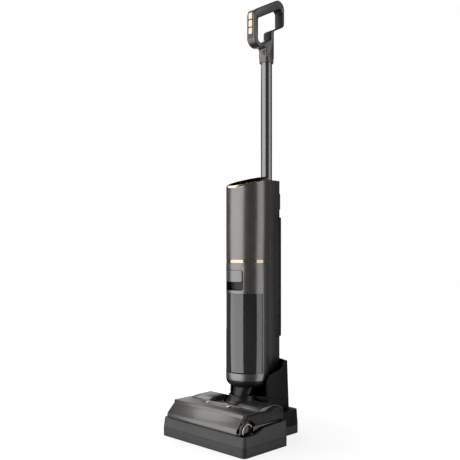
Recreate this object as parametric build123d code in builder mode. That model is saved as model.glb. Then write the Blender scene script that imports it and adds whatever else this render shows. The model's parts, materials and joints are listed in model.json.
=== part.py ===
"""Wet dry floor scrubber standing in its charging dock, as separate named pieces.

Millimetres. +X is the machine's right, +Y its rear and +Z up. The origin is at floor level, under
the middle of the whole object's box.
"""

import os
from math import cos, radians, sin

from build123d import *

os.makedirs("parts", exist_ok=True)

# ---------------------------------------------------------------- driving dimensions
GAP = 0.4  # clearance between pieces of different bodies

# Dock
TRAY_HALF = 140.0  # half the tray's width at the floor
TRAY_FRONT = -142.5
TRAY_BACK = 8.5
TRAY_CORNER = 12.0
BASE_Z = 1.2  # underside of the base, above the rubber feet
SEAM_Z = 22.6  # seam between the dark skirt and the lighter tray
RIM_Z = 62.6  # height that the tray's draft is stated at
RIM_FRONT_INSET = 6.5
RIM_SIDE_INSET = 4.4
DOCK_WALL = 3.0
PLATFORM_Z = 32.2  # the head's wheels stand on this
TROUGH_Z = 20.0
BLOCK_HALF = 87.0
BLOCK_BACK = 118.0
BLOCK_TOP = 60.0
BLOCK_CORNER = 15.0
TOWER_FRONT = 20.5
TOWER_BACK = 116.0
TOWER_HALF_LOW = 66.0
TOWER_HALF_TOP = 61.0
TOWER_TOP = 180.5
TOWER_WALL = 4.0
POST_TOP = 147.5  # the contact post inside the tower
CONTACT_SPOTS = [(-9, 82), (9, 82)]  # the two charging contacts, seen from above

# Floor head
ROLLER_Y = -116.0
ROLLER_Z = 54.5
ROLLER_R = 22.0
CORE_R = 17.0
HEAD_LEFT = -116.0
HEAD_RIGHT = 118.0
POD_RIGHT = 129.0
CHASSIS_Z = 33.2
DECK_Z = 89.6
DECK_BACK = -70.5
HEAD_BACK = 16.5
WALL = 2.5
WHEEL_Y = -22.0
WHEEL_R = 16.0
WHEEL_X = 98.0
AXLE_R = 3.0
FLOOR_LINE = ROLLER_Z - ROLLER_R  # underside of the roller and the wheels
MOTOR_Y = -58.0
MOTOR_Z = 60.0

# Neck
PIVOT_Y = -2.5
PIVOT_Z = 70.0
PIN_R = 5.0
DISH_R = 47.5
COLLAR_R = 33.0
COLLAR_FLARE = 41.0
JOURNAL_R = 18.0

# Upright body
BODY_Y = 17.5
BODY_R = 53.5
SHELL = 2.7
BODY_Z = 139.4
TOP_Z = 629.4  # middle of the slanted display
TOP_SLOPE = 18.0  # degrees
WINDOW_LOW = 157.0
WINDOW_TOP = 351.0
WINDOW_HALF_ANGLE = 87.0
RING_LOW = 426.0
RING_TOP = 434.0
BUTTON_HALF = 27.6
RECESS_LOW = 359.0
BUTTON_LOW = 380.0
BUTTON_TOP = 408.2
BUTTON_CORNER = 5.0
MODULE_HALF = 36.5
MODULE_BACK = 105.5
MODULE_CORNER = 12.0
MODULE_LOW = 152.0
MODULE_TOP = 634.0
TANK_LOW = 239.0
TANK_TOP = 542.0
TANK_FRONT = 84.0
TANK_BACK = 112.5

# Pole and handle
POLE_Y = 89.0
POLE_R = 14.4
POLE_LOW = 560.0
POLE_END = 957.0
SOCKET_LOW = 938.0
HANDLE_FRONT = 28.5
HANDLE_BACK = 145.5
HANDLE_HALF = 14.0

BODY_AXIS = Axis((0, BODY_Y, 0), (0, 0, 1))
NECK_AXIS = Axis((0, PIVOT_Y, 0), (0, 0, 1))


# ---------------------------------------------------------------- shared helpers
def write(piece, name):
    """Label a finished piece and write its STEP file."""
    piece.part.label = name
    export_step(piece.part, f"parts/{name}.step")


def rounded(x0, x1, y0, y1, radius, mode=Mode.ADD):
    """A rounded rectangle between two corners, in the sketch being drawn."""
    with Locations(((x0 + x1) / 2, (y0 + y1) / 2)):
        RectangleRounded(x1 - x0, y1 - y0, radius, mode=mode)


def block(x0, x1, y0, y1, z0, z1, mode=Mode.ADD):
    """A plain box between two corners, in the part being built."""
    with Locations(((x0 + x1) / 2, (y0 + y1) / 2, (z0 + z1) / 2)):
        Box(x1 - x0, y1 - y0, z1 - z0, mode=mode)


def span(side, near, far):
    """The two X limits of a feature on the left (-1) or right (1), in rising order."""
    return sorted((side * near, side * far))


def upright(radius, z0, z1, x=0.0, y=BODY_Y, mode=Mode.ADD):
    """A vertical cylinder from z0 to z1."""
    with Locations((x, y, (z0 + z1) / 2)):
        Cylinder(radius, z1 - z0, mode=mode)


def crosswise(radius, x0, x1, y, z, mode=Mode.ADD):
    """A cylinder along X from x0 to x1."""
    with Locations(Location(((x0 + x1) / 2, y, z), (0, 90, 0))):
        Cylinder(radius, x1 - x0, mode=mode)


def side_profile(points, x0, x1, mode=Mode.ADD, radius=0):
    """A closed outline of (Y, Z) points, extruded from x0 to x1."""
    with BuildSketch(Plane.YZ.offset(x0)) as outline:
        with BuildLine():
            if radius:
                FilletPolyline(*points, radius=radius, close=True)
            else:
                Polyline(*points, close=True)
        make_face()
    extrude(outline.sketch, amount=x1 - x0, mode=mode)


def sector(half_angle, reach):
    """A wedge about the body's axis that opens to the front, in the sketch being drawn."""
    x = reach * sin(radians(half_angle))
    y = BODY_Y - reach * cos(radians(half_angle))
    Polygon((0, BODY_Y), (-x, y), (-reach, BODY_Y - reach), (reach, BODY_Y - reach), (x, y), align=None)


# ---------------------------------------------------------------- dock
def tray_outline(front=0.0, side=0.0, back=0.0):
    """The tray's footprint, drawn in by the three insets."""
    x = TRAY_HALF - side
    rounded(-x, x, TRAY_FRONT + front, TRAY_BACK - back, TRAY_CORNER - min(front, 6))


def block_outline(inset=0.0, front=TRAY_BACK - 40):
    """The footprint of the rear block."""
    x = BLOCK_HALF - inset
    rounded(-x, x, front, BLOCK_BACK - inset, BLOCK_CORNER - inset)


BOARD_POSTS = [(-26, 45), (26, 45), (-26, 85), (26, 85)]

with BuildPart() as dock_skirt:
    with BuildSketch(Plane.XY.offset(BASE_Z)):
        tray_outline()
        block_outline()
    extrude(amount=SEAM_Z - BASE_Z)
    with BuildSketch(Plane.XY.offset(BASE_Z + WALL)):
        tray_outline(DOCK_WALL, DOCK_WALL, DOCK_WALL)
        block_outline(DOCK_WALL)
    extrude(amount=SEAM_Z, mode=Mode.SUBTRACT)
    with BuildSketch(Plane.XY.offset(BASE_Z + WALL)):
        with Locations(*BOARD_POSTS):
            Circle(3)
    extrude(amount=5)
write(dock_skirt, "dock_skirt")

with BuildPart() as dock_feet:
    with BuildSketch(Plane.XY):
        with Locations((-118, -122), (118, -122), (-118, -10), (118, -10), (-60, 104), (60, 104)):
            SlotOverall(22, 9)
    extrude(amount=BASE_Z)
write(dock_feet, "dock_feet")

RIM_LINE = [(-170, 46.0), (-112, 46.5), (-95, 48.5), (-73, 56.5), (-40, 58.5), (30, 60.5)]

with BuildPart() as dock_tray:
    with BuildSketch(Plane.XY.offset(SEAM_Z)):
        tray_outline()
    with BuildSketch(Plane.XY.offset(RIM_Z)):
        tray_outline(RIM_FRONT_INSET, RIM_SIDE_INSET, 1.0)
    loft()
    block(-121.5, 124.5, -139.1, -87.5, TROUGH_Z - 3, SEAM_Z + 0.1)
    side_profile([*RIM_LINE, (30, 90), (-170, 90)], -150, 150, Mode.SUBTRACT)
    block(-119, POD_RIGHT + 1.6, -136.9, 4.2, PLATFORM_Z, 90, Mode.SUBTRACT)
    block(-119, 122, -136.9, -90, TROUGH_Z, 90, Mode.SUBTRACT)
    block(-134, 134, -87, 4.5, SEAM_Z - 1, PLATFORM_Z - 3, Mode.SUBTRACT)
    block(-133.5, -121.5, -132, 2, SEAM_Z - 1, 42, Mode.SUBTRACT)
write(dock_tray, "dock_tray")

WELL = (70.5, 79.5, 30, 92)  # a slot each side of the tower for the cleaning brush and a spare roller

with BuildPart() as dock_rear_block:
    with BuildSketch(Plane.XY.offset(SEAM_Z)):
        block_outline(0, TRAY_BACK + GAP)
    with BuildSketch(Plane.XY.offset(BLOCK_TOP)):
        block_outline(2.5, TRAY_BACK + GAP)
    loft()
    with BuildSketch(Plane.XY.offset(SEAM_Z)):
        block_outline(3, TRAY_BACK + 3)
    with BuildSketch(Plane.XY.offset(BLOCK_TOP - 3)):
        block_outline(5.5, TRAY_BACK + 3)
    loft(mode=Mode.SUBTRACT)
    for side in (-1, 1):
        block(*span(side, WELL[0] - 2, WELL[1] + 2), WELL[2] - 2, WELL[3] + 2, 28, BLOCK_TOP - 1)
        block(*span(side, WELL[0], WELL[1]), WELL[2], WELL[3], 30, 80, Mode.SUBTRACT)
    with Locations(Location((45, BLOCK_BACK, 38), (90, 0, 0))):
        Cylinder(6.1, 20, mode=Mode.SUBTRACT)
write(dock_rear_block, "dock_rear_block")

with BuildPart() as power_inlet:
    with BuildSketch(Plane.XZ.offset(-(BLOCK_BACK - 1.5))):
        with Locations((45, 38)):
            Circle(6)
            Circle(3.2, mode=Mode.SUBTRACT)
    extrude(amount=14)
    with BuildSketch(Plane.XZ.offset(-(BLOCK_BACK - 13))):
        with Locations((45, 38)):
            Circle(6)
    extrude(amount=2.5)
write(power_inlet, "power_inlet")

with BuildPart() as dock_board:
    with BuildSketch(Plane.XY.offset(BASE_Z + WALL + 5)):
        rounded(-32, 32, 39, 91, 3)
    extrude(amount=1.6)
    block(-20, -4, 50, 66, BASE_Z + WALL + 6.5, BASE_Z + WALL + 14)
    block(4, 16, 52, 60, BASE_Z + WALL + 6.5, BASE_Z + WALL + 10)
write(dock_board, "dock_board")

TOWER_EDGE = [
    (0, 138), (TOWER_FRONT, 138), (31, 152.5), (71, 161), (84, 172), (95, TOWER_TOP), (140, TOWER_TOP),
    (140, 220), (0, 220),
]  # fmt: skip


def tower_plan(half, back, front, corner):
    """The tower's U-shaped plan: square to the front and round to the rear."""
    rounded(-half, half, front, back, corner)
    rounded(-half, half, front, front + 2 * corner, 2)


with BuildPart() as dock_tower:
    with BuildSketch(Plane.XY.offset(BLOCK_TOP)):
        tower_plan(TOWER_HALF_LOW, TOWER_BACK - 1.5, TOWER_FRONT, 40)
    with BuildSketch(Plane.XY.offset(200)):
        tower_plan(TOWER_HALF_TOP - 1, TOWER_BACK - 1.5, TOWER_FRONT, 40)
    loft()
    with BuildSketch(Plane.XY.offset(BLOCK_TOP + 2.5)):
        tower_plan(TOWER_HALF_TOP - TOWER_WALL, TOWER_BACK - 1.5 - TOWER_WALL, TOWER_FRONT - 20, 36)
    extrude(amount=200, mode=Mode.SUBTRACT)
    side_profile(TOWER_EDGE, -100, 100, Mode.SUBTRACT)
    with BuildSketch(Plane.XY.offset(BLOCK_TOP + 2)):
        rounded(-24, 24, 73, 91, 6)
    with BuildSketch(Plane.XY.offset(POST_TOP)):
        rounded(-20, 20, 75, 89, 5)
    loft()
    with BuildSketch(Plane.XY.offset(POST_TOP - 8)):
        with Locations(*CONTACT_SPOTS):
            Circle(2.6)
    extrude(amount=20, mode=Mode.SUBTRACT)
write(dock_tower, "dock_tower")

with BuildPart() as dock_contacts:
    with BuildSketch(Plane.XY.offset(POST_TOP - 8)):
        with Locations(*CONTACT_SPOTS):
            Circle(2.5)
    extrude(amount=8 + MODULE_LOW - POST_TOP - GAP)
write(dock_contacts, "dock_contacts")


# ---------------------------------------------------------------- floor head
CHASSIS_SIDE = [
    (-128, 47), (-116, 38), (-98, CHASSIS_Z), (-2, CHASSIS_Z), (1.5, 37), (1.5, 62.2), (HEAD_BACK, 63.2),
    (HEAD_BACK, 74), (-70, 84), (-117.5, 84), (-130, 65),
]  # fmt: skip
CHASSIS_HOLLOW = [
    (-87, CHASSIS_Z + WALL), (-4, CHASSIS_Z + WALL), (-1.5, 38), (-1.5, 65), (HEAD_BACK - 3, 66),
    (HEAD_BACK - 3, 100), (-87, 100),
]  # fmt: skip
PLATE_LEFT = HEAD_LEFT + 3.2
PLATE_RIGHT = 112.0
HEAD_SCREWS = [(-70, -30), (70, -30), (-70, -75), (70, -75)]

with BuildPart() as head_chassis:
    side_profile(CHASSIS_SIDE, PLATE_LEFT, HEAD_RIGHT - 0.4)
    side_profile(CHASSIS_HOLLOW, PLATE_LEFT + 3, PLATE_RIGHT, Mode.SUBTRACT)
    crosswise(24.5, PLATE_LEFT + 3, PLATE_RIGHT, ROLLER_Y, ROLLER_Z, Mode.SUBTRACT)
    block(PLATE_LEFT + 3, PLATE_RIGHT, -145, -94, 20, 54, Mode.SUBTRACT)
    side_profile([(-150, 50), (-119, 50), (-108, 90), (-150, 90)], PLATE_LEFT + 3, PLATE_RIGHT, Mode.SUBTRACT)
    block(-30.2, 30.2, -95, -80, 57, 73.2, Mode.SUBTRACT)  # mouth of the suction duct
    block(-100.2, 100.2, -110.8, -107.4, 76, 90, Mode.SUBTRACT)  # slot for the scraper
    block(-46, 46, -1.9, 20, 52, 100, Mode.SUBTRACT)  # room for the neck to lean back
    crosswise(4.05, PLATE_LEFT - 1, PLATE_LEFT + 5, ROLLER_Y, ROLLER_Z, Mode.SUBTRACT)
    crosswise(22.4, PLATE_RIGHT - 1, HEAD_RIGHT, ROLLER_Y, ROLLER_Z, Mode.SUBTRACT)
    for side in (-1, 1):
        block(side * WHEEL_X - 9, side * WHEEL_X + 9, WHEEL_Y - 19, WHEEL_Y + 19, 20, 68, Mode.SUBTRACT)
        for x in (side * WHEEL_X - 12, side * WHEEL_X + 9):
            block(x, x + 3, WHEEL_Y - 8, WHEEL_Y + 8, CHASSIS_Z, 56)
    crosswise(AXLE_R + 0.05, -111.5, -86, WHEEL_Y, FLOOR_LINE + WHEEL_R, Mode.SUBTRACT)
    crosswise(AXLE_R + 0.05, 86, 111.5, WHEEL_Y, FLOOR_LINE + WHEEL_R, Mode.SUBTRACT)
    with BuildSketch(Plane.XY.offset(CHASSIS_Z)):
        with Locations(*HEAD_SCREWS):
            Circle(4)
    extrude(amount=12)
    with BuildSketch(Plane.XY.offset(CHASSIS_Z)):
        with Locations(*HEAD_SCREWS):
            Circle(1.6)
    extrude(amount=13, mode=Mode.SUBTRACT)
    with BuildSketch(Plane.XY.offset(CHASSIS_Z)):
        with Locations(*HEAD_SCREWS):
            Circle(3.1)
    extrude(amount=2.2, mode=Mode.SUBTRACT)
write(head_chassis, "head_chassis")

with BuildPart() as head_screws:
    with BuildSketch(Plane.XY.offset(CHASSIS_Z + 0.2)):
        with Locations(*HEAD_SCREWS):
            Circle(2.9)
    extrude(amount=2.0)
    with BuildSketch(Plane.XY.offset(CHASSIS_Z + 2.2)):
        with Locations(*HEAD_SCREWS):
            Circle(1.5)
    extrude(amount=9)
write(head_screws, "head_screws")

HUMP = [(-70.1, 84.5), (-70.1, 90.4), (-59, 95.4), (-14, 96.6), (13, 87), (HEAD_BACK, 75), (HEAD_BACK, 74.4)]
HUMP_RADII = [0, 1, 8, 16, 14, 3, 0]
HUMP_INNER = [
    (-67.6, 80), (-67.6, 88.6), (-58.5, 92.8), (-14, 94.0), (11, 84.8), (HEAD_BACK - 2.6, 74),
    (HEAD_BACK - 2.6, 70),
]  # fmt: skip
HUMP_INNER_RADII = [0, 1, 6, 14, 12, 2, 0]
HUMP_LEFT = -113.6

with BuildPart() as head_top:
    side_profile(HUMP, HUMP_LEFT, HEAD_RIGHT - 0.4, radius=HUMP_RADII)
    side_profile(HUMP_INNER, HUMP_LEFT + WALL, HEAD_RIGHT - 0.4 - WALL, Mode.SUBTRACT, HUMP_INNER_RADII)
    with BuildSketch(Plane.XY.offset(75)):
        with Locations((0, PIVOT_Y)):
            Circle(DISH_R + 2.5)
    extrude(amount=11)
    side_profile(HUMP, -DISH_R - WALL, DISH_R + WALL, radius=HUMP_RADII)
    side_profile([(HEAD_BACK, 60), (HEAD_BACK, 110), (60, 110), (60, 60)], -60, 60, Mode.SUBTRACT)
    side_profile([(-70, 60), (HEAD_BACK, 60), (HEAD_BACK, 74.4), (-70, 84.5)], -60, 60, Mode.SUBTRACT)
    with BuildSketch(Plane.XZ.offset(90)):
        outside = HUMP_LEFT - 5
        Polygon((outside, 80), (HUMP_LEFT, 88.5), (-98, 97), (-98, 110), (outside, 110), align=None)
    extrude(amount=-140, mode=Mode.SUBTRACT)
    with BuildSketch(Plane.XY.offset(86)):
        rounded(-DISH_R, DISH_R, -90, PIVOT_Y + DISH_R, DISH_R - 1)
        rounded(-DISH_R, DISH_R, -90, PIVOT_Y, 2)
    extrude(amount=20, mode=Mode.SUBTRACT)
    with Locations((0, PIVOT_Y, PIVOT_Z)):
        Sphere(DISH_R, mode=Mode.SUBTRACT)
write(head_top, "head_top")

POD_SIDE = [
    (-131, 42), (-112, 34.5), (-10, 47), (4, 58), (6.2, 72), (-2, 90), (-18, 96.6), (-34, 92), (-44, 87),
    (-100, 89), (-121, 89.2), (-131, 76),
]  # fmt: skip
POD_RADII = [12, 6, 10, 12, 14, 20, 20, 20, 20, 0, 6, 10]

with BuildPart() as side_pod:
    side_profile(POD_SIDE, HEAD_RIGHT, POD_RIGHT, radius=POD_RADII)
    chamfer(side_pod.faces().sort_by(Axis.X)[-1].edges(), 1.6)
    crosswise(23.2, HEAD_RIGHT - 1, POD_RIGHT + 1, ROLLER_Y, ROLLER_Z, Mode.SUBTRACT)
    block(POD_RIGHT - 5, POD_RIGHT + 5, -108, -6, 44.5, 64, Mode.SUBTRACT)  # seat of the pull tab
write(side_pod, "side_pod")

# The cover wraps the roller's front, rises to a lip and runs back as a flat deck.
NOSE_Y = -133.5
NOSE_Z = 55.0
NOSE_R = 12.0
LIP_Y = -122.5
COVER_WALL = 2.2


def nose_point(radius, angle):
    """A point on the round nose, by its angle from +Y."""
    return (NOSE_Y + radius * cos(radians(angle)), NOSE_Z + radius * sin(radians(angle)))


def cover_section(radius, deck_z, lip_y, rise):
    """The path of one face of the cover: nose, slope, lip and deck, as sketch lines."""
    low = nose_point(radius, 215)
    front = nose_point(radius, 180)
    high = nose_point(radius, 135)
    ThreePointArc(low, front, high)
    foot = (high[0] + rise, high[1] + rise)
    lip = [(lip_y, foot[1] + 1.2), (lip_y, deck_z - 1.5), (lip_y + 1.5, deck_z)]
    Polyline(high, foot, *lip, (DECK_BACK, deck_z))
    return low


with BuildPart() as roller_cover:
    with BuildSketch(Plane.YZ.offset(HEAD_LEFT)):
        with BuildLine():
            outer_low = cover_section(NOSE_R, DECK_Z, LIP_Y, 17.2)
            inner_low = cover_section(NOSE_R - COVER_WALL, DECK_Z - 2.4, LIP_Y + 2.4, 18.0)
            Line(outer_low, inner_low)
            Line((DECK_BACK, DECK_Z), (DECK_BACK, DECK_Z - 2.4))
        make_face()
    extrude(amount=HEAD_RIGHT - 0.4 - HEAD_LEFT)
    with BuildSketch(Plane.YZ.offset(HEAD_LEFT)):
        with BuildLine():
            outer_low = cover_section(NOSE_R, DECK_Z, LIP_Y, 17.2)
            Polyline((DECK_BACK, DECK_Z), (DECK_BACK, 70), (-90, 48), outer_low)
        make_face()
    extrude(amount=2.4)
    for side in (-1, 1):
        block(*span(side, 29, 48), -92, -79, DECK_Z - 1.2, DECK_Z + 2, Mode.SUBTRACT)
        block(*span(side, 32, 45), -88, -83, DECK_Z - 5, DECK_Z + 2, Mode.SUBTRACT)
write(roller_cover, "roller_cover")

# Each latch rests at the inner end of its recess and slides outwards to free the cover.
for side, name in ((-1, "cover_latch_left"), (1, "cover_latch_right")):
    with BuildPart() as cover_latch:
        with BuildSketch(Plane.XY.offset(DECK_Z - 0.9)):
            rounded(*span(side, 29.5, 39.5), -90.5, -80.5, 2)
        extrude(amount=2.2)
        with BuildSketch(Plane.XY.offset(DECK_Z - 4.4)):
            rounded(*span(side, 32.5, 36.5), -87, -84, 1)
        extrude(amount=3.6)
        fillet(cover_latch.faces().sort_by(Axis.Z)[-1].edges(), 0.8)
    write(cover_latch, name)

with BuildPart() as roller_core:
    crosswise(CORE_R, -106, 107, ROLLER_Y, ROLLER_Z)
    crosswise(CORE_R - 3, -103, 104, ROLLER_Y, ROLLER_Z, Mode.SUBTRACT)
    crosswise(4.0, PLATE_LEFT + 0.2, -103, ROLLER_Y, ROLLER_Z)
    crosswise(4.0, 104, 118, ROLLER_Y, ROLLER_Z)
write(roller_core, "roller_core")

with BuildPart() as roller_sleeve:
    crosswise(ROLLER_R, -105, 106, ROLLER_Y, ROLLER_Z)
    crosswise(CORE_R, -110, 110, ROLLER_Y, ROLLER_Z, Mode.SUBTRACT)
write(roller_sleeve, "roller_sleeve")

with BuildPart() as end_cap:
    crosswise(22.2, 112.4, 122.5, ROLLER_Y, ROLLER_Z)
    crosswise(4.05, 112, 119, ROLLER_Y, ROLLER_Z, Mode.SUBTRACT)
    crosswise(14.2, 120.5, 123, ROLLER_Y, ROLLER_Z, Mode.SUBTRACT)
    crosswise(14.0, 120.5, 123.4, ROLLER_Y, ROLLER_Z)
write(end_cap, "end_cap")

with BuildPart() as end_cap_ring:
    with BuildSketch(Plane.YZ.offset(122.5)):
        with Locations((ROLLER_Y, ROLLER_Z)):
            Circle(16.4)
            Circle(14.6, mode=Mode.SUBTRACT)
        mouth = ROLLER_Y + 30
        Polygon((ROLLER_Y + 4, ROLLER_Z), (mouth, ROLLER_Z - 19), (mouth, ROLLER_Z + 19), align=None,
                mode=Mode.SUBTRACT)  # fmt: skip
    extrude(amount=3.4)
write(end_cap_ring, "end_cap_ring")

with BuildPart() as pull_tab:
    tab = [(-100, 47), (-8, 50), (-8, 60.5), (-24, 61.5), (-100, 63.5)]
    side_profile(tab, POD_RIGHT - 4.6, POD_RIGHT - 1.2, radius=[1, 4, 4, 6, 1])
write(pull_tab, "pull_tab")

for side, name in ((-1, "rear_wheel_left"), (1, "rear_wheel_right")):
    with BuildPart() as rear_wheel:
        x = side * WHEEL_X
        crosswise(WHEEL_R, x - 6.5, x + 6.5, WHEEL_Y, FLOOR_LINE + WHEEL_R)
        fillet(rear_wheel.edges().filter_by(GeomType.CIRCLE), 1.5)
        crosswise(AXLE_R + 0.06, x - 10, x + 10, WHEEL_Y, FLOOR_LINE + WHEEL_R, Mode.SUBTRACT)
    write(rear_wheel, name)

with BuildPart() as wheel_axles:
    for side in (-1, 1):
        x = side * WHEEL_X
        crosswise(AXLE_R, x - 11.5, x + 11.5, WHEEL_Y, FLOOR_LINE + WHEEL_R)
write(wheel_axles, "wheel_axles")

with BuildPart() as drive_motor:
    crosswise(15, -88, -38, MOTOR_Y, MOTOR_Z)
    crosswise(6, -92, -88, MOTOR_Y, MOTOR_Z)
write(drive_motor, "drive_motor")

with BuildPart() as suction_duct:
    side_profile([(-86.5, 57), (-50, 50), (-50, 66), (-86.5, 73)], -30, 30)
    side_profile([(-87.5, 59), (-49, 52), (-49, 64), (-87.5, 71)], -28, 28, Mode.SUBTRACT)
write(suction_duct, "suction_duct")

with BuildPart() as scraper:
    side_profile([(-110.6, 80.2), (-107.6, 80.2), (-107.6, 84.6), (-110.6, 84.6)], -100, 100)
    side_profile([(-110.2, 77.0), (-108.0, 77.4), (-108.0, 80.4), (-110.2, 80.4)], -100, 100)
write(scraper, "scraper")

with BuildPart() as pivot_bracket:
    block(-42, 42, -16, -4.2, CHASSIS_Z + WALL, CHASSIS_Z + WALL + 2.5)
    for side in (-1, 1):
        block(*span(side, 33, 39), PIVOT_Y - 9, -4.2, CHASSIS_Z + WALL, PIVOT_Z)
        crosswise(9, *span(side, 33, 39), PIVOT_Y, PIVOT_Z)
    crosswise(PIN_R + 0.05, -50, 50, PIVOT_Y, PIVOT_Z, Mode.SUBTRACT)
write(pivot_bracket, "pivot_bracket")


# ---------------------------------------------------------------- neck
with BuildPart() as neck_collar:
    with BuildSketch(Plane.XZ.offset(-PIVOT_Y)):
        with BuildLine():
            Polyline((29.5, 84), (COLLAR_FLARE, 84), (COLLAR_FLARE, 86))
            Spline((COLLAR_FLARE, 86), (35.2, 91.5), (COLLAR_R, 98))
            Polyline((COLLAR_R, 98), (COLLAR_R, 102), (COLLAR_R - 1, 103), (29.5, 103), (29.5, 84))
        make_face()
    revolve(axis=NECK_AXIS)
write(neck_collar, "neck_collar")

with BuildPart() as yoke:
    upright(29.4, 82, 90, y=PIVOT_Y)
    for side in (-1, 1):
        block(*span(side, 22, 31), PIVOT_Y - 9, PIVOT_Y + 9, PIVOT_Z, 83)
        crosswise(9, *span(side, 22, 31), PIVOT_Y, PIVOT_Z)
    upright(JOURNAL_R + 0.05, 50, 95, y=PIVOT_Y, mode=Mode.SUBTRACT)
    crosswise(PIN_R, -39, -30, PIVOT_Y, PIVOT_Z)
    crosswise(PIN_R, 30, 39, PIVOT_Y, PIVOT_Z)
write(yoke, "yoke")

with BuildPart() as neck_tube:
    with BuildSketch(Plane.XY.offset(90.6)):
        with Locations((0, PIVOT_Y)):
            Circle(24.5)
    with BuildSketch(Plane.XY.offset(105)):
        with Locations((0, PIVOT_Y + 3)):
            Circle(24.5)
    with BuildSketch(Plane.XY.offset(121.8)):
        with Locations((0, PIVOT_Y + 13)):
            Circle(29)
    loft()
    upright(JOURNAL_R, 76, 91, y=PIVOT_Y)
    upright(14.5, 70, 130, y=PIVOT_Y, mode=Mode.SUBTRACT)
write(neck_tube, "neck_tube")


# ---------------------------------------------------------------- upright body
def slanted(z):
    """The display's slanted plane, at height z on the body's axis."""
    tilt = radians(TOP_SLOPE)
    return Plane(origin=(0, BODY_Y, z), x_dir=(1, 0, 0), z_dir=(0, -sin(tilt), cos(tilt)))


with BuildPart() as bottom_bowl:
    with BuildSketch(Plane.XZ.offset(-BODY_Y)):
        with BuildLine():
            Line((0, 122), (36, 122))
            Spline((36, 122), (46, 125.8), (51, 131.5), (52.8, BODY_Z - 0.4))
            Polyline((52.8, BODY_Z - 0.4), (50.2, BODY_Z - 0.4), (48, 132.8), (44, 128.4), (35.6, 124.6))
            Polyline((35.6, 124.6), (0, 124.6), (0, 122))
        make_face()
    revolve(axis=BODY_AXIS)
    upright(14.6, 110, 130, y=PIVOT_Y, mode=Mode.SUBTRACT)
write(bottom_bowl, "bottom_bowl")

with BuildPart() as body_shell:
    upright(BODY_R, BODY_Z, 680)
    upright(BODY_R - SHELL, BODY_Z - 1, 690, mode=Mode.SUBTRACT)
    split(bisect_by=slanted(TOP_Z - 3.5), keep=Keep.BOTTOM)
    with BuildSketch(Plane.XY.offset(WINDOW_LOW)):
        sector(WINDOW_HALF_ANGLE, 120)
    extrude(amount=WINDOW_TOP - WINDOW_LOW, mode=Mode.SUBTRACT)
    with BuildSketch(Plane.XZ.offset(60)):
        rounded(-BUTTON_HALF - 0.5, BUTTON_HALF + 0.5, RECESS_LOW, BUTTON_TOP + 0.6, BUTTON_CORNER + 0.5)
    extrude(amount=-60, mode=Mode.SUBTRACT)
    block(-33, 33, 40, 90, 160, 618, Mode.SUBTRACT)
    with BuildSketch(Plane.XY.offset(RING_LOW)):
        with Locations((0, BODY_Y)):
            Circle(BODY_R + 5)
            Circle(BODY_R - 1.0, mode=Mode.SUBTRACT)
    extrude(amount=RING_TOP - RING_LOW, mode=Mode.SUBTRACT)
write(body_shell, "body_shell")

with BuildPart() as accent_ring:
    with BuildSketch(Plane.XY.offset(RING_LOW + 0.1)):
        with Locations((0, BODY_Y)):
            Circle(BODY_R)
            Circle(BODY_R - 0.9, mode=Mode.SUBTRACT)
    extrude(amount=RING_TOP - RING_LOW - 0.2)
write(accent_ring, "accent_ring")

with BuildPart() as display_rim:
    upright(BODY_R, 560, 700)
    upright(BODY_R - 3.4, 550, 710, mode=Mode.SUBTRACT)
    split(bisect_by=slanted(TOP_Z), keep=Keep.BOTTOM)
    split(bisect_by=slanted(TOP_Z - 3.4), keep=Keep.TOP)
write(display_rim, "display_rim")

with BuildPart() as display_glass:
    upright(BODY_R - 3.6, 560, 700)
    split(bisect_by=slanted(TOP_Z - 0.5), keep=Keep.BOTTOM)
    split(bisect_by=slanted(TOP_Z - 3.4), keep=Keep.TOP)
write(display_glass, "display_glass")

DECK_LOW = WINDOW_TOP + 2.8  # the deck that closes the space over the dirty water tank

with BuildPart() as latch_deck:
    block(-BUTTON_HALF - 1.5, BUTTON_HALF + 1.5, -40, -8, RECESS_LOW - 2, BUTTON_TOP + 3)
    upright(BODY_R - SHELL - 0.3, 300, 500, mode=Mode.INTERSECT)
    block(-BUTTON_HALF, BUTTON_HALF, -40, -12, RECESS_LOW + 0.5, BUTTON_LOW - 1.5, Mode.SUBTRACT)
    block(-BUTTON_HALF, BUTTON_HALF, -40, -20, BUTTON_LOW, BUTTON_TOP + 1, Mode.SUBTRACT)
    block(-8, 8, -24, -12, 388, 400, Mode.SUBTRACT)
    upright(BODY_R - SHELL - 0.1, DECK_LOW, DECK_LOW + 3.2)
    upright(20, 340, 370, y=26, mode=Mode.SUBTRACT)
write(latch_deck, "latch_deck")

with BuildPart() as tank_button:
    with BuildSketch(Plane.XZ.offset(60)):
        rounded(-BUTTON_HALF, BUTTON_HALF, BUTTON_LOW, BUTTON_TOP, BUTTON_CORNER)
    extrude(amount=-50)
    upright(BODY_R, 360, 430, mode=Mode.INTERSECT)
    upright(BODY_R - 2.4, 360, 430, mode=Mode.SUBTRACT)
    block(-6, 6, -34, -24.5, 390, 398)
write(tank_button, "tank_button")

with BuildPart() as lower_deck:
    upright(BODY_R - SHELL - 0.1, 148, 152)
    upright(14.6, 140, 160, y=PIVOT_Y, mode=Mode.SUBTRACT)
write(lower_deck, "lower_deck")

with BuildPart() as exhaust_filter:
    upright(26, 357, 404, y=32)
    upright(14, 356, 399, y=32, mode=Mode.SUBTRACT)
write(exhaust_filter, "exhaust_filter")

with BuildPart() as motor_housing:
    upright(46, 438, 560)
    upright(43.5, 440.5, 557.5, mode=Mode.SUBTRACT)
    upright(20, 430, 445, mode=Mode.SUBTRACT)
    with BuildSketch(Plane.XY.offset(550)):
        with Locations((0, BODY_Y)):
            with PolarLocations(33, 8):
                Circle(6)
    extrude(amount=20, mode=Mode.SUBTRACT)
write(motor_housing, "motor_housing")

with BuildPart() as suction_motor:
    upright(28, 472, 536)
    upright(20, 536, 557.5)
    upright(4.05, 470, 500, mode=Mode.SUBTRACT)
write(suction_motor, "suction_motor")

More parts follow.
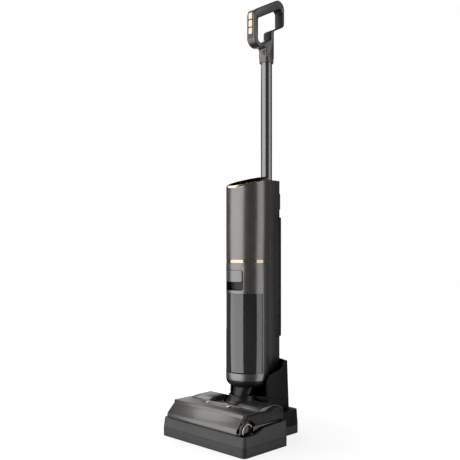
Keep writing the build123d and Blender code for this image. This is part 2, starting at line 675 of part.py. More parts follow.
with BuildPart() as fan_rotor:
    upright(38, 459, 462)
    upright(10, 446, 459)
    upright(4, 462, 495)
    with BuildSketch(Plane.XY.offset(449)):
        with Locations((0, BODY_Y)):
            with PolarLocations(24, 9):
                Rectangle(25, 1.6, rotation=28)
    extrude(amount=10)
write(fan_rotor, "fan_rotor")

with BuildPart() as battery_case:
    block(-31, 31, 27, 68, 250, 330)
    block(-29, 29, 29, 66, 253, 327, Mode.SUBTRACT)
write(battery_case, "battery_case")

with BuildPart() as battery_cells:
    with BuildSketch(Plane.XY.offset(257)):
        with Locations((0, 47.5)):
            with GridLocations(19, 18.4, 3, 2):
                Circle(9.1)
    extrude(amount=65)
write(battery_cells, "battery_cells")

with BuildPart() as main_board:
    block(-26, 26, 74, 75.6, 380, 530)
    block(-15, 5, 75.6, 79, 400, 425)
    block(-18, 12, 75.6, 78, 450, 480)
write(main_board, "main_board")

with BuildPart() as water_pump:
    crosswise(11, -18, 18, 88, 206)
    block(-8, 8, 80, 96, 192, 200)
write(water_pump, "water_pump")

with BuildPart() as charge_pads:
    with BuildSketch(Plane.XY.offset(MODULE_LOW)):
        with Locations(*CONTACT_SPOTS):
            Circle(4)
    extrude(amount=3)
write(charge_pads, "charge_pads")

CHAMFER_FOOT = MODULE_BACK - 16  # the module's lower rear edge is cut back to clear the floor
CHAMFER_TOP = MODULE_LOW + 26


def module_plan(inset=0.0, front=30.0):
    """The rear module's footprint."""
    x = MODULE_HALF - inset
    rounded(-x, x, front, MODULE_BACK - inset, MODULE_CORNER - inset)


with BuildPart() as rear_cover:
    with BuildSketch(Plane.XY.offset(MODULE_LOW)):
        module_plan()
    extrude(amount=MODULE_TOP - MODULE_LOW)
    with BuildSketch(Plane.XY.offset(MODULE_LOW + 3)):
        module_plan(WALL, 25)
    extrude(amount=MODULE_TOP - MODULE_LOW - 6, mode=Mode.SUBTRACT)
    inner = MODULE_BACK - 3
    behind = MODULE_BACK + 9
    backing = [(CHAMFER_FOOT - 4, MODULE_LOW), (inner, MODULE_LOW), (inner, CHAMFER_TOP + 4),
               (CHAMFER_FOOT - 4, MODULE_LOW + 3)]  # fmt: skip
    side_profile(backing, -MODULE_HALF + 2, MODULE_HALF - 2)
    cut_back = [(CHAMFER_FOOT, MODULE_LOW - 1), (behind, MODULE_LOW - 1), (behind, CHAMFER_TOP + 14),
                (MODULE_BACK, CHAMFER_TOP), (CHAMFER_FOOT, MODULE_LOW)]  # fmt: skip
    side_profile(cut_back, -60, 60, Mode.SUBTRACT)
    block(-60, 60, TANK_FRONT - GAP, 140, TANK_LOW, TANK_TOP, Mode.SUBTRACT)
    block(-35, 35, TANK_FRONT - GAP - WALL, TANK_FRONT - GAP, TANK_LOW - WALL, TANK_TOP + WALL)
    for z in (TANK_LOW - WALL, TANK_TOP):
        with BuildSketch(Plane.XY.offset(z)):
            module_plan(1, TANK_FRONT - 5)
        extrude(amount=WALL)
    upright(BODY_R + 0.15, 100, 700, mode=Mode.SUBTRACT)
    block(-MODULE_HALF + 2, MODULE_HALF - 2, 73, MODULE_BACK - 2, 562, 602)
    upright(POLE_R + 0.1, 550, 640, y=POLE_Y, mode=Mode.SUBTRACT)
    with BuildSketch(Plane.XY.offset(MODULE_LOW)):
        with Locations(*CONTACT_SPOTS):
            Circle(4.05)
    extrude(amount=3, mode=Mode.SUBTRACT)
write(rear_cover, "rear_cover")


# ---------------------------------------------------------------- dirty water tank
CUP_R = BODY_R - 0.2
CUP_BACK = BODY_Y - 3.8
CUP_LOW = WINDOW_LOW + GAP
CUP_TOP = WINDOW_TOP - GAP


def cup_plan(inset):
    """The tank's D-shaped footprint: the body's curve in front and flat behind."""
    with Locations((0, BODY_Y)):
        Circle(CUP_R - inset)
    rounded(-80, 80, -80, CUP_BACK - inset, 1, Mode.INTERSECT)


with BuildPart() as dirty_tank_cup:
    with BuildSketch(Plane.XY.offset(CUP_LOW)):
        cup_plan(0)
    extrude(amount=CUP_TOP - CUP_LOW)
    with BuildSketch(Plane.XY.offset(CUP_LOW + 3)):
        cup_plan(2.4)
    extrude(amount=CUP_TOP, mode=Mode.SUBTRACT)
    upright(10.8, CUP_LOW, 322, y=PIVOT_Y)
    upright(9.2, 150, 340, y=PIVOT_Y, mode=Mode.SUBTRACT)
write(dirty_tank_cup, "dirty_tank_cup")

with BuildPart() as tank_lid:
    with BuildSketch(Plane.XY.offset(CUP_TOP - 14)):
        cup_plan(2.5)
    extrude(amount=13.6)
    with BuildSketch(Plane.XY.offset(CUP_TOP - 15)):
        cup_plan(5)
    extrude(amount=12, mode=Mode.SUBTRACT)
    upright(8.6, 340, 350, x=26, y=-8, mode=Mode.SUBTRACT)
    with BuildSketch(Plane.XY.offset(318)):
        with Locations((26, -8)):
            Circle(11.5)
            Circle(10.0, mode=Mode.SUBTRACT)
            Rectangle(8, 30, mode=Mode.SUBTRACT)
    extrude(amount=CUP_TOP - 3 - 318)
    with BuildSketch(Plane.XY.offset(316)):
        with Locations((26, -8)):
            Circle(11.5)
            Circle(5, mode=Mode.SUBTRACT)
    extrude(amount=2)
write(tank_lid, "tank_lid")

with BuildPart() as tank_float:
    upright(9.5, 318.4, 334, x=26, y=-8)
    fillet(tank_float.faces().sort_by(Axis.Z)[-1].edges(), 3)
write(tank_float, "tank_float")


# ---------------------------------------------------------------- clean water tank
def clean_plan(inset=0.0):
    """The clean tank's footprint."""
    x = MODULE_HALF - inset
    rounded(-x, x, TANK_FRONT + inset, TANK_BACK - inset, 13 - inset)
    rounded(-x, x, TANK_FRONT + inset, TANK_FRONT + 16, 2)


with BuildPart() as clean_tank:
    with BuildSketch(Plane.XY.offset(TANK_LOW + GAP)):
        clean_plan()
    extrude(amount=TANK_TOP - TANK_LOW - 2 * GAP)
    for z, lift in ((TANK_LOW, 1), (TANK_TOP, -1)):
        slope = [(MODULE_BACK - 0.5, z), (TANK_BACK + 2, z), (TANK_BACK + 2, z + 16 * lift),
                 (TANK_BACK, z + 9 * lift), (MODULE_BACK - 0.5, z + GAP * lift)]  # fmt: skip
        side_profile(slope, -60, 60, Mode.SUBTRACT)
    with BuildSketch(Plane.XY.offset(TANK_LOW + 10)):
        clean_plan(2.2)
    extrude(amount=TANK_TOP - TANK_LOW - 22, mode=Mode.SUBTRACT)
    upright(12.3, TANK_TOP - 7, TANK_TOP + 2, y=97, mode=Mode.SUBTRACT)
    upright(8.2, TANK_TOP - 20, TANK_TOP, y=97, mode=Mode.SUBTRACT)
write(clean_tank, "clean_tank")

with BuildPart() as clean_tank_cap:
    upright(12, TANK_TOP - 7, TANK_TOP - 1, y=97)
    upright(8, TANK_TOP - 14, TANK_TOP - 7, y=97)
write(clean_tank_cap, "clean_tank_cap")


# ---------------------------------------------------------------- pole and handle
with BuildPart() as pole:
    upright(POLE_R, POLE_LOW, POLE_END, y=POLE_Y)
    upright(POLE_R - 1.4, POLE_LOW - 1, 990, y=POLE_Y, mode=Mode.SUBTRACT)
write(pole, "pole")

HANDLE_OUTER = [
    (HANDLE_FRONT, 965), (HANDLE_FRONT, 1058.6), (HANDLE_BACK, 1121.8), (HANDLE_BACK, 1044.3),
    (104.2, 1022.5), (104.2, 950), (73.8, 950), (73.8, 975),
]  # fmt: skip
HANDLE_OUTER_RADII = [24, 22, 21, 13, 9, 0, 0, 5]
GRIP_OPENING = [
    (43.5, 981), (43.5, 1041), (136.5, 1091), (136.5, 1043), (91.5, 1021), (91.5, 1000), (63.5, 983),
]  # fmt: skip
GRIP_RADII = [9, 9, 8, 7, 8, 6, 12]
LINER = 1.8
PANEL = (990, 1058)
BUTTONS = {"power_button": (1037.5, 1053), "self_clean_button": (1018, 1035), "mode_button": (1000, 1015.5)}


def grip_opening(grow, mode=Mode.ADD):
    """The finger opening's outline, grown by the given amount."""
    with BuildSketch(Plane.YZ, mode=Mode.PRIVATE) as hole:
        with BuildLine():
            FilletPolyline(*GRIP_OPENING, radius=GRIP_RADII, close=True)
        make_face()
        offset(amount=grow)
    with BuildSketch(Plane.YZ) as placed:
        add(hole.sketch_local)
    extrude(placed.sketch, amount=60, both=True, mode=mode)


with BuildPart() as handle_shell:
    side_profile(HANDLE_OUTER, -HANDLE_HALF, HANDLE_HALF, radius=HANDLE_OUTER_RADII)
    fillet(handle_shell.faces().filter_by(Axis.X).edges(), 3.4)
    grip_opening(LINER, Mode.SUBTRACT)
    with BuildSketch(Plane.XY.offset(SOCKET_LOW)):
        rounded(-15.8, 15.8, 73.2, 104.8, 10)
    extrude(amount=24)
    chamfer(handle_shell.faces().filter_by(Axis.Z).sort_by(Axis.Z)[0].outer_wire().edges(), 0.8)
    upright(POLE_R + 0.1, 900, POLE_END, y=POLE_Y, mode=Mode.SUBTRACT)
    block(-8.4, 8.4, HANDLE_FRONT - 5, HANDLE_FRONT + 2.6, PANEL[0], PANEL[1], Mode.SUBTRACT)
    block(-7.6, 7.6, HANDLE_FRONT - 5, HANDLE_FRONT + 7.6, PANEL[0] + 2, PANEL[1] - 2, Mode.SUBTRACT)
write(handle_shell, "handle_shell")

with BuildPart() as handle_liner:
    grip_opening(LINER - 0.05)
    grip_opening(0, Mode.SUBTRACT)
    block(-11.5, 11.5, 0, 200, 900, 1200, Mode.INTERSECT)
write(handle_liner, "handle_liner")

with BuildPart() as button_panel:
    block(-8.3, 8.3, HANDLE_FRONT + 0.2, HANDLE_FRONT + 2.5, PANEL[0] + 0.1, PANEL[1] - 0.1)
    for low, high in BUTTONS.values():
        with BuildSketch(Plane.XZ) as slot:
            rounded(-6.6, 6.6, low - 0.4, high + 0.4, 3)
        extrude(slot.sketch, amount=-60, mode=Mode.SUBTRACT)
write(button_panel, "button_panel")

for name, (low, high) in BUTTONS.items():
    with BuildPart() as button:
        with BuildSketch(Plane.XZ.offset(-HANDLE_FRONT + 0.8)) as face:
            rounded(-6.2, 6.2, low, high, 2.6)
        extrude(face.sketch, amount=-3.8)
        fillet(button.faces().sort_by(Axis.Y)[0].edges(), 0.7)
    write(button, name)
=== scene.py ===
"""Looks for the wet dry floor scrubber and its charging dock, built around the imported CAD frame.

Everything is in metres in the frame's own axes: +X is the machine's right, +Y its rear, +Z up.
"""
import json
from math import cos, pi, radians, sin

import bmesh
import bpy
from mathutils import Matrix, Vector, noise


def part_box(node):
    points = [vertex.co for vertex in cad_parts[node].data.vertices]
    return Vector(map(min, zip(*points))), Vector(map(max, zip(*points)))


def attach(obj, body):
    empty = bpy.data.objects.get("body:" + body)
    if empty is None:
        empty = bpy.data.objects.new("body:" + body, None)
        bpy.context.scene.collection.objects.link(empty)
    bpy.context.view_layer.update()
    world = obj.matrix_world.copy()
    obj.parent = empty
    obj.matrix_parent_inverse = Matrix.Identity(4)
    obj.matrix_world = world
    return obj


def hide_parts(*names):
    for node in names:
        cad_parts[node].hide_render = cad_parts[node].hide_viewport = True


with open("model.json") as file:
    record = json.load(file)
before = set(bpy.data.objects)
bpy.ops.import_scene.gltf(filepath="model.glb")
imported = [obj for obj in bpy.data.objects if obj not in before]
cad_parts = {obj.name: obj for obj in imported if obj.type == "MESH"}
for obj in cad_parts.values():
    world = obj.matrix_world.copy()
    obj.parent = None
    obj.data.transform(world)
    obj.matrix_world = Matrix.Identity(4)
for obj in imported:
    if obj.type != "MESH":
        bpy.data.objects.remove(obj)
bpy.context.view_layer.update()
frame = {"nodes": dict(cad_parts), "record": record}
MM = 0.001
BODY_AXIS_Y = 17.5 * MM  # the round body's axis
RIM_HEIGHT = 3.4 * MM  # the CAD display rim, measured straight up
BODY_OF = {node: body for body, nodes in frame["record"]["behaviour"]["bodies"].items() for node in nodes}
SLOT_OF = {row["node"]: row["material_slot"] for row in frame["record"]["subparts"]}


# ---------------------------------------------------------------- materials
class Surface:
    """A node-based material on one Principled shader, with helpers that add texture to it."""

    def __init__(self, name, colour, rough, metallic=0.0, coat=0.0, specular=0.5, ior=1.5):
        self.material = bpy.data.materials.new(name)
        self.material.use_nodes = True
        self.material.diffuse_color = (*colour, 1)
        self.nodes = self.material.node_tree.nodes
        self.links = self.material.node_tree.links
        self.shader = self.nodes["Principled BSDF"]
        self.place = self.nodes.new("ShaderNodeTexCoord").outputs["Object"]
        self.colour = colour
        self.set("Base Color", (*colour, 1))
        self.set("Roughness", rough)
        self.set("Metallic", metallic)
        self.set("Coat Weight", coat)
        self.set("Coat Roughness", 0.08)
        self.set("Specular IOR Level", specular)
        self.set("IOR", ior)
        self.normal = None

    def set(self, socket, value):
        self.shader.inputs[socket].default_value = value

    def stretched(self, scale):
        """The surface's own coordinates, scaled by axis so that a pattern runs along one of them."""
        mapping = self.nodes.new("ShaderNodeMapping")
        mapping.inputs["Scale"].default_value = scale
        self.links.new(self.place, mapping.inputs["Vector"])
        return mapping.outputs["Vector"]

    def noise(self, scale, detail=3.0, vector=None):
        texture = self.nodes.new("ShaderNodeTexNoise")
        texture.inputs["Scale"].default_value = scale
        texture.inputs["Detail"].default_value = detail
        self.links.new(vector or self.place, texture.inputs["Vector"])
        return texture.outputs["Fac"]

    def cells(self, scale, vector=None):
        texture = self.nodes.new("ShaderNodeTexVoronoi")
        texture.inputs["Scale"].default_value = scale
        self.links.new(vector or self.place, texture.inputs["Vector"])
        return texture.outputs["Distance"]

    def waves(self, scale, direction, distortion=0.0):
        texture = self.nodes.new("ShaderNodeTexWave")
        texture.bands_direction = direction
        texture.inputs["Scale"].default_value = scale
        texture.inputs["Distortion"].default_value = distortion
        self.links.new(self.place, texture.inputs["Vector"])
        return texture.outputs["Fac"]

    def ranged(self, factor, low, high):
        node = self.nodes.new("ShaderNodeMapRange")
        node.inputs["From Min"].default_value = 0.3
        node.inputs["From Max"].default_value = 0.7
        node.inputs["To Min"].default_value = low
        node.inputs["To Max"].default_value = high
        self.links.new(factor, node.inputs["Value"])
        return node.outputs["Result"]

    def shade(self, factor, spread):
        """Vary the base colour a little each way about its own value."""
        ramp = self.nodes.new("ShaderNodeValToRGB")
        for stop, place, share in zip(ramp.color_ramp.elements, (0.3, 0.7), (1 - spread, 1 + spread)):
            stop.position = place
            stop.color = (*(channel * share for channel in self.colour), 1)
        self.links.new(factor, ramp.inputs["Fac"])
        self.links.new(ramp.outputs["Color"], self.shader.inputs["Base Color"])

    def roughen(self, factor, low, high):
        self.links.new(self.ranged(factor, low, high), self.shader.inputs["Roughness"])

    def bump(self, factor, strength, depth):
        node = self.nodes.new("ShaderNodeBump")
        node.inputs["Strength"].default_value = strength
        node.inputs["Distance"].default_value = depth
        self.links.new(factor, node.inputs["Height"])
        if self.normal:
            self.links.new(self.normal, node.inputs["Normal"])
        self.normal = node.outputs["Normal"]
        self.links.new(self.normal, self.shader.inputs["Normal"])


def lacquer(name, colour, rough):
    """Metallic paint on plastic: fine flakes under a clear coat, with faint handling marks."""
    surface = Surface(name, colour, rough, metallic=0.85, coat=0.25)
    surface.shade(surface.noise(2600, 2), 0.10)
    surface.roughen(surface.noise(38, 5), rough - 0.03, rough + 0.04)
    surface.bump(surface.noise(3000, 1), 0.10, 0.00004)
    return surface


def moulded(name, colour, rough, grain=0.25, specular=0.5):
    """Textured moulded plastic: a fine spark-eroded grain and slight flow marks."""
    surface = Surface(name, colour, rough, specular=specular)
    surface.shade(surface.noise(26, 4), 0.12)
    surface.roughen(surface.noise(55, 4), rough - 0.05, rough + 0.06)
    surface.bump(surface.cells(1500), grain, 0.00008)
    surface.bump(surface.noise(9, 2), 0.05, 0.0004)
    return surface


def polished(name, colour, rough=0.12, coat=0.6, specular=0.5):
    """Glossy plastic with faint orange peel."""
    surface = Surface(name, colour, rough, coat=coat, specular=specular)
    surface.shade(surface.noise(40, 3), 0.10)
    surface.roughen(surface.noise(90, 4), rough - 0.03, rough + 0.05)
    surface.bump(surface.noise(160, 2), 0.04, 0.0002)
    return surface


def plated(name, colour, rough=0.16):
    """Electroplated champagne trim."""
    surface = Surface(name, colour, rough, metallic=1.0)
    surface.shade(surface.noise(70, 3), 0.06)
    surface.roughen(surface.noise(240, 3), rough - 0.04, rough + 0.05)
    surface.bump(surface.noise(420, 2), 0.05, 0.00008)
    return surface


def brushed(name, colour, rough=0.28, along=(150, 150, 1.2)):
    """Metal with drawn lines along one axis."""
    surface = Surface(name, colour, rough, metallic=1.0)
    lines = surface.noise(1.0, 2, surface.stretched(along))
    surface.shade(lines, 0.03)
    surface.roughen(lines, rough - 0.015, rough + 0.02)
    return surface


def rubbery(name, colour, rough=0.62):
    surface = Surface(name, colour, rough, specular=0.3)
    surface.shade(surface.noise(60, 4), 0.15)
    surface.roughen(surface.noise(120, 3), rough - 0.06, rough + 0.08)
    surface.bump(surface.noise(1400, 2), 0.22, 0.0001)
    return surface


def smoked(name, colour, clear=0.55):
    """Smoked clear plastic of a water tank, glossy, with faint moulding waves."""
    surface = Surface(name, colour, 0.10, coat=0.5, ior=1.9)
    surface.set("Transmission Weight", clear)
    surface.roughen(surface.noise(22, 3), 0.07, 0.15)
    surface.bump(surface.noise(14, 2), 0.05, 0.0005)
    surface.shade(surface.noise(12, 2), 0.15)
    return surface


def pile(name, colour):
    """Short dense fibres of the roller."""
    surface = Surface(name, colour, 0.92, specular=0.2)
    surface.set("Sheen Weight", 0.5)
    surface.set("Sheen Roughness", 0.45)
    fibres = surface.noise(1.0, 4, surface.stretched((1100, 2600, 2600)))
    surface.shade(fibres, 0.45)
    surface.bump(fibres, 0.7, 0.0006)
    return surface


def circuit(name, colour):
    """Solder mask over copper traces."""
    surface = Surface(name, colour, 0.38, coat=0.3)
    surface.shade(surface.waves(160, "X", 6.0), 0.35)
    surface.bump(surface.waves(160, "Z", 4.0), 0.2, 0.0001)
    return surface


def pleated(name, colour):
    """Filter paper in upright pleats."""
    surface = Surface(name, colour, 0.9, specular=0.2)
    surface.shade(surface.waves(190, "X", 0.4), 0.18)
    surface.bump(surface.waves(190, "X", 0.4), 0.8, 0.0012)
    return surface


MATERIALS = {
    "body_lacquer": lacquer("body_lacquer", (0.245, 0.237, 0.230), 0.30),
    "handle_lacquer": lacquer("handle_lacquer", (0.150, 0.145, 0.140), 0.36),
    "head_lacquer": lacquer("head_lacquer", (0.175, 0.171, 0.167), 0.34),
    "module_plastic": moulded("module_plastic", (0.026, 0.0255, 0.025), 0.42),
    "dock_satin": moulded("dock_satin", (0.058, 0.057, 0.056), 0.44, 0.15),
    "skirt_satin": moulded("skirt_satin", (0.030, 0.0295, 0.029), 0.46, 0.15),
    "dock_black": moulded("dock_black", (0.005, 0.005, 0.005), 0.5, 0.2, 0.2),
    "head_black": moulded("head_black", (0.012, 0.012, 0.012), 0.42, 0.2, 0.35),
    "neck_plastic": moulded("neck_plastic", (0.016, 0.0158, 0.0155), 0.30, 0.1),
    "tank_black": moulded("tank_black", (0.014, 0.014, 0.0145), 0.36, 0.15),
    "float_white": moulded("float_white", (0.55, 0.55, 0.53), 0.4, 0.1),
    "inner_plastic": moulded("inner_plastic", (0.03, 0.03, 0.031), 0.5),
    "fan_plastic": moulded("fan_plastic", (0.06, 0.06, 0.062), 0.45),
    "cap_gloss": polished("cap_gloss", (0.010, 0.010, 0.0105), 0.18),
    "button_gloss": polished("button_gloss", (0.012, 0.012, 0.0125)),
    "display_black": polished("display_black", (0.002, 0.002, 0.0022), 0.07, 0.04, 0.0),
    "clean_smoke": polished("clean_smoke", (0.008, 0.008, 0.0085), 0.24, 0.1),
    "gold_trim": plated("gold_trim", (0.70, 0.57, 0.43), 0.14),
    "contact_metal": plated("contact_metal", (0.75, 0.56, 0.25), 0.22),
    "pole_metal": brushed("pole_metal", (0.27, 0.27, 0.272), 0.27),
    "steel": brushed("steel", (0.56, 0.56, 0.565), 0.25, (3, 420, 420)),
    "cast_metal": brushed("cast_metal", (0.42, 0.42, 0.43), 0.42, (160, 160, 160)),
    "grip_rubber": rubbery("grip_rubber", (0.018, 0.018, 0.0185), 0.5),
    "seal_rubber": rubbery("seal_rubber", (0.014, 0.014, 0.014)),
    "smoked_window": smoked("smoked_window", (0.055, 0.055, 0.058)),
    "roller_pile": pile("roller_pile", (0.085, 0.085, 0.09)),
    "filter_paper": pleated("filter_paper", (0.72, 0.71, 0.68)),
    "circuit_board": circuit("circuit_board", (0.015, 0.11, 0.04)),
}


def paint(obj, slot):
    """Give a piece the slot's material and nothing else."""
    obj.data.materials.clear()
    obj.data.materials.append(MATERIALS[slot].material)


# ---------------------------------------------------------------- mesh helpers
def piece(name, mesh, body, slot, replaced=()):
    """Put a finished mesh in the scene as a piece of a body."""
    obj = bpy.data.objects.new(name, mesh)
    bpy.context.scene.collection.objects.link(obj)
    paint(obj, slot)
    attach(obj, body)
    if replaced:
        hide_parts(*replaced)


def made_mesh(name, work):
    """Turn the working geometry into a mesh and free it."""
    mesh = bpy.data.meshes.new(name)
    work.to_mesh(mesh)
    work.free()
    return mesh


def rounded_edges(obj, width):
    """Bevel a piece's sharp edges and apply the modifier."""
    modifier = obj.modifiers.new("bevel", "BEVEL")
    modifier.width = width
    modifier.segments = 2
    modifier.limit_method = "ANGLE"
    modifier.angle_limit = radians(35)
    modifier.use_clamp_overlap = False
    modifier.harden_normals = False
    depsgraph = bpy.context.evaluated_depsgraph_get()
    mesh = bpy.data.meshes.new_from_object(obj.evaluated_get(depsgraph))
    obj.modifiers.clear()
    obj.data = mesh


def smooth_by_angle(mesh, degrees=32):
    """Smooth shading with the edges sharper than an angle kept crisp."""
    work = bmesh.new()
    work.from_mesh(mesh)
    for face in work.faces:
        face.smooth = True
    for edge in work.edges:
        edge.smooth = len(edge.link_faces) == 2 and edge.calc_face_angle(0) < radians(degrees)
    work.to_mesh(mesh)
    work.free()


def softened(node, width):
    """A copy of a CAD piece whose sharp edges are rounded, which then stands for that piece."""
    work = bmesh.new()
    work.from_mesh(frame["nodes"][node].data)
    bmesh.ops.remove_doubles(work, verts=work.verts, dist=0.00001)
    bmesh.ops.dissolve_limit(work, angle_limit=radians(1.0), verts=work.verts, edges=work.edges)
    obj = bpy.data.objects.new(f"{node}_finished", made_mesh(f"{node}_shape", work))
    bpy.context.scene.collection.objects.link(obj)
    rounded_edges(obj, width)
    smooth_by_angle(obj.data)
    paint(obj, LOOKS.get(node, SLOT_OF[node]))
    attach(obj, BODY_OF[node])
    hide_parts(node)


def swept(name, rings, body, slot, replaced=(), closed_ends=True):
    """A skin over rings of points, each ring with the same number of points."""
    work = bmesh.new()
    rows = [[work.verts.new(point) for point in ring] for ring in rings]
    for lower, upper in zip(rows, rows[1:]):
        for i in range(len(lower)):
            j = (i + 1) % len(lower)
            work.faces.new((lower[i], lower[j], upper[j], upper[i]))
    if closed_ends:
        work.faces.new(list(reversed(rows[0])))
        work.faces.new(rows[-1])
    bmesh.ops.recalc_face_normals(work, faces=work.faces)
    mesh = made_mesh(name, work)
    smooth_by_angle(mesh)
    piece(name, mesh, body, slot, replaced)


def bars(name, boxes, body, slot, rounding):
    """Several small rounded bars in one piece, each given by its lowest and highest corners."""
    work = bmesh.new()
    for low, high in boxes:
        corner = Vector(low)
        size = Vector(high) - corner
        made = bmesh.ops.create_cube(work, size=1)["verts"]
        for vert in made:
            vert.co = corner + Vector((size[k] * (vert.co[k] + 0.5) for k in range(3)))
    bmesh.ops.bevel(work, geom=list(work.edges), offset=rounding, segments=2, affect="EDGES", profile=0.5)
    mesh = made_mesh(name, work)
    smooth_by_angle(mesh, 50)
    piece(name, mesh, body, slot)


# ---------------------------------------------------------------- the CAD pieces
SOFTENED = {  # how far each visible moulding's edges are rounded, in millimetres
    "dock_tray": 0.9, "dock_skirt": 0.7, "dock_rear_block": 1.0, "dock_tower": 1.8, "roller_cover": 0.5,
    "head_top": 0.6, "side_pod": 0.7, "end_cap": 0.6, "end_cap_ring": 0.5, "pull_tab": 0.7, "neck_collar": 0.6,
    "body_shell": 0.35, "tank_button": 0.6, "latch_deck": 0.4, "rear_cover": 0.8, "clean_tank": 0.7,
    "dirty_tank_cup": 0.4, "tank_lid": 0.4, "handle_shell": 0.5, "handle_liner": 0.4, "cover_latch_left": 0.3,
    "cover_latch_right": 0.3, "power_inlet": 0.3, "dock_feet": 0.3, "accent_ring": 0.2,
}
LOOKS = {"dock_skirt": "skirt_satin"}  # pieces given another material than their record slot's usual one: the skirt gets a darker copy of the dock's satin plastic

for node, obj in frame["nodes"].items():
    paint(obj, LOOKS.get(node, SLOT_OF[node]))
for node, width in SOFTENED.items():
    softened(node, width * MM)


# ---------------------------------------------------------------- roller cover details
def cover_trim():
    """The gold line along the cover's rear edge."""
    low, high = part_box("roller_cover")
    edge = high.y - 2.0 * MM
    top = high.z
    line = ((low.x + 12 * MM, edge - 1.0 * MM, top - 0.3 * MM), (high.x - 60 * MM, edge, top + 0.35 * MM))
    bars("cover_trim", [line], BODY_OF["roller_cover"], "gold_trim", 0.15 * MM)


def roller_pile_sleeve():
    """The roller's pile as a fine tufted surface."""
    low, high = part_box("roller_sleeve")
    centre = (low + high) / 2
    outer = (high.z - low.z) / 2
    inner = outer - 4.6 * MM
    around = 160
    along = 150
    shortest = 0.45 * MM
    rings = []
    profile = [(low.x, inner)]  # (x, radius), with no radius where the pile decides it
    profile += [(low.x + (high.x - low.x) * k / along, None) for k in range(along + 1)]
    profile += [(high.x, inner)]
    for x, fixed in profile:
        ring = []
        for i in range(around):
            angle = 2 * pi * i / around
            tuft = noise.noise(Vector((x * 900, cos(angle) * 24, sin(angle) * 24)))
            reach = fixed or outer - shortest * (1 - tuft)
            ring.append((x, centre.y + reach * cos(angle), centre.z + reach * sin(angle)))
        rings.append(ring)
    rings.append(rings[0])
    swept("roller_pile_sleeve", rings, BODY_OF["roller_sleeve"], "roller_pile", ("roller_sleeve",), False)


cover_trim()
roller_pile_sleeve()


# ---------------------------------------------------------------- body details
def level_marks():
    """Short raised dashes on the dirty water tank that show how full it is."""
    low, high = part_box("dirty_tank_cup")
    radius = BODY_AXIS_Y - low.y
    first = radians(66)
    half = 0.35 * MM
    steps = 4
    work = bmesh.new()
    for k in range(5):
        z = low.z + (high.z - low.z) * (0.30 + 0.11 * k)
        wide = 7.0 if k in (0, 4) else 4.0
        rows = []
        for step in range(steps + 1):
            angle = first + wide * MM / radius * step / steps
            row = []
            for reach, up in ((radius - 0.1 * MM, -half), (radius + 0.15 * MM, -half), (radius + 0.15 * MM, half),
                              (radius - 0.1 * MM, half)):
                row.append(work.verts.new((reach * sin(angle), BODY_AXIS_Y - reach * cos(angle), z + up)))
            rows.append(row)
        for lower, upper in zip(rows, rows[1:]):
            for i in range(4):
                j = (i + 1) % 4
                work.faces.new((lower[i], lower[j], upper[j], upper[i]))
        work.faces.new(rows[0])
        work.faces.new(rows[-1])
    bmesh.ops.recalc_face_normals(work, faces=work.faces)
    piece("level_marks", made_mesh("level_marks", work), BODY_OF["dirty_tank_cup"], "inner_plastic")


def rear_louvres():
    """Exhaust louvres on the back of the module, above the clean water tank."""
    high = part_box("rear_cover")[1]
    tank_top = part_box("clean_tank")[1].z
    half = 22 * MM
    boxes = []
    for k in range(9):
        z = tank_top + 18 * MM + k * 6.5 * MM
        boxes.append(((-half, high.y - 0.8 * MM, z), (half, high.y + 0.9 * MM, z + 2.6 * MM)))
    bars("rear_louvres", boxes, BODY_OF["rear_cover"], "tank_black", 0.4 * MM)


def display():
    """The dark lens on the slanted top, inside a gold bezel that is taller at the front."""
    front, back = (corner.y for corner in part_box("body_shell"))
    middle = (front + back) / 2
    radius = (back - front) / 2
    top_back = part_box("body_shell")[1].z
    rim_low, rim_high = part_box("display_rim")
    slope = (rim_high.z - rim_low.z - RIM_HEIGHT) / (2 * radius)
    around = 120

    def ring(reach, share, lift=0.0):
        """Points at a radius, from the shell's edge (share 0) to the lens's plane (share 1)."""
        points = []
        for i in range(around):
            angle = 2 * pi * i / around
            y = middle + reach * sin(angle)
            cut = top_back - (back - y) * slope
            wedge = (2.0 + 3.2 * (back - y) / (2 * radius)) * MM
            points.append((reach * cos(angle), y, cut + share * wedge + lift))
        return points

    bezel = [ring(radius, 0.02), ring(radius, 0.16), ring(radius - 0.35 * MM, 0.26), ring(radius - 3.1 * MM, 0.97),
             ring(radius - 3.6 * MM, 1.0), ring(radius - 3.9 * MM, 0.97), ring(radius - 4.0 * MM, 0.0)]
    bezel.append(bezel[0])
    swept("display_bezel", bezel, BODY_OF["display_rim"], "gold_trim", ("display_rim",), False)
    lens = [ring(radius - 4.05 * MM, 0.1), ring(radius - 4.05 * MM, 1.0, 0.1 * MM),
            ring(radius - 4.4 * MM, 1.0, 0.45 * MM), ring(radius - 5.4 * MM, 1.0, 0.6 * MM)]
    swept("display_lens", lens, BODY_OF["display_glass"], "display_black", ("display_glass",))


def tank_gap_shade_strip():
    """A black strip along the foot of the dirty water tank, where it meets the body: painted shade standing for
    the dark gap between the tank and the body.
    """
    low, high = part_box("dirty_tank_cup")
    middle = low.y + (high.x - low.x) / 2
    radius = (high.x - low.x) / 2
    centre = Vector((0, middle, low.z))
    section = ((-0.6, 0.2), (0.25, 0.2), (0.35, 1.2), (0.2, 2.3), (-0.6, 2.4))  # (reach, lift) in millimetres
    arc = 118
    steps = 40
    sections = []
    for i in range(steps + 1):
        angle = radians(-90 + arc * (i / steps - 0.5))
        outward = Vector((cos(angle), sin(angle), 0))
        sections.append([centre + outward * (radius + reach * MM) + Vector((0, 0, lift * MM))
                         for reach, lift in section])
    # the strip's black rubber is painted shade for the shaded gap under the tank
    swept("tank_gap_shade_strip", sections, BODY_OF["dirty_tank_cup"], "seal_rubber")


level_marks()
tank_gap_shade_strip()
rear_louvres()
display()


# ---------------------------------------------------------------- stage, lights and camera
VIEW = radians(44.6)
TOWARDS_CAMERA = Vector((sin(VIEW), -cos(VIEW), 0))
SCREEN_RIGHT = Vector((cos(VIEW), sin(VIEW), 0))


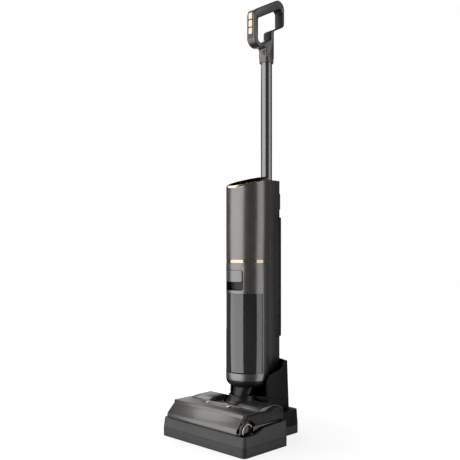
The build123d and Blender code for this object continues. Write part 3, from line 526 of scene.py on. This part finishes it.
def floor():
    """A pale glowing floor that fades into the backdrop; its glow is dimmed in a round patch about the dock, a
    painted shade, so that the soft real shadow shows there.
    """
    work = bmesh.new()
    bmesh.ops.create_circle(work, cap_ends=True, segments=64, radius=12)
    obj = bpy.data.objects.new("floor", made_mesh("floor", work))
    bpy.context.scene.collection.objects.link(obj)
    surface = Surface("studio_floor", (0.32, 0.32, 0.32), 0.8, specular=0.0)
    surface.shade(surface.noise(3, 3), 0.01)
    surface.set("Emission Color", (1, 1, 1, 1))
    # painted shade: the floor's glow is turned down in a round patch about the dock, so its real soft shadow shows
    painted_shade_by_dock = surface.nodes.new("ShaderNodeTexGradient")
    painted_shade_by_dock.gradient_type = "SPHERICAL"
    surface.links.new(surface.stretched((1.2, 1.2, 1.2)), painted_shade_by_dock.inputs["Vector"])
    surface.links.new(surface.ranged(painted_shade_by_dock.outputs["Fac"], 0.975, 0.84), surface.shader.inputs["Emission Strength"])
    obj.data.materials.append(surface.material)
    obj.visible_glossy = False
    obj.visible_diffuse = False
    obj.visible_transmission = False
    obj.visible_shadow = False


def softbox(name, angle, distance, width, height, middle, energy, aim=None, diffuse=1.0):
    """A rectangular light at an angle from the camera's side of the object, right of the frame if positive.

    It faces level, unless it is aimed at another height on the object's axis.
    """
    light = bpy.data.lights.new(name, "AREA")
    light.shape = "RECTANGLE"
    light.size = width
    light.size_y = height
    light.energy = energy
    light.diffuse_factor = diffuse
    obj = bpy.data.objects.new(name, light)
    bpy.context.scene.collection.objects.link(obj)
    across = TOWARDS_CAMERA * cos(radians(angle)) + SCREEN_RIGHT * sin(radians(angle))
    obj.location = across * distance + Vector((0, 0, middle))
    aimed = Vector((0, 0, middle if aim is None else aim))
    obj.rotation_euler = (obj.location - aimed).to_track_quat("Z", "Y").to_euler()
    obj.visible_camera = False


def surroundings():
    """White where the camera looks, and a dim room for everything else."""
    world = bpy.data.worlds.new("studio")
    bpy.context.scene.world = world
    world.use_nodes = True
    nodes = world.node_tree.nodes
    links = world.node_tree.links
    room = nodes["Background"]
    room.inputs["Color"].default_value = (1, 1, 1, 1)
    room.inputs["Strength"].default_value = 0.07
    backdrop = nodes.new("ShaderNodeBackground")
    backdrop.inputs["Color"].default_value = (1, 1, 1, 1)
    backdrop.inputs["Strength"].default_value = 1.0
    path = nodes.new("ShaderNodeLightPath")
    mix = nodes.new("ShaderNodeMixShader")
    links.new(path.outputs["Is Camera Ray"], mix.inputs["Fac"])
    links.new(room.outputs["Background"], mix.inputs[1])
    links.new(backdrop.outputs["Background"], mix.inputs[2])
    links.new(mix.outputs["Shader"], nodes["World Output"].inputs["Surface"])


def camera():
    """The camera, level and a little above the middle of the machine."""
    lens = bpy.data.cameras.new("camera")
    lens.lens = 50
    lens.sensor_width = 36
    lens.shift_y = 0.061
    obj = bpy.data.objects.new("camera", lens)
    bpy.context.scene.collection.objects.link(obj)
    obj.location = (1.0886, -1.1486, 0.438)
    obj.rotation_euler = (radians(90), 0, VIEW)
    bpy.context.scene.camera = obj


floor()
softbox("softbox_left", -64, 2.2, 3.6, 4.5, 0.65, 78)
softbox("softbox_right", 71, 2.2, 1.7, 4.5, 0.65, 25, diffuse=0.1)
softbox("softbox_above", -140, 1.5, 2.2, 1.2, 2.0, 17, aim=0.45)
softbox("softbox_behind", 180, 2.4, 2.6, 1.1, 0.55, 6)
surroundings()
camera()
bpy.context.scene.view_settings.view_transform = "Standard"
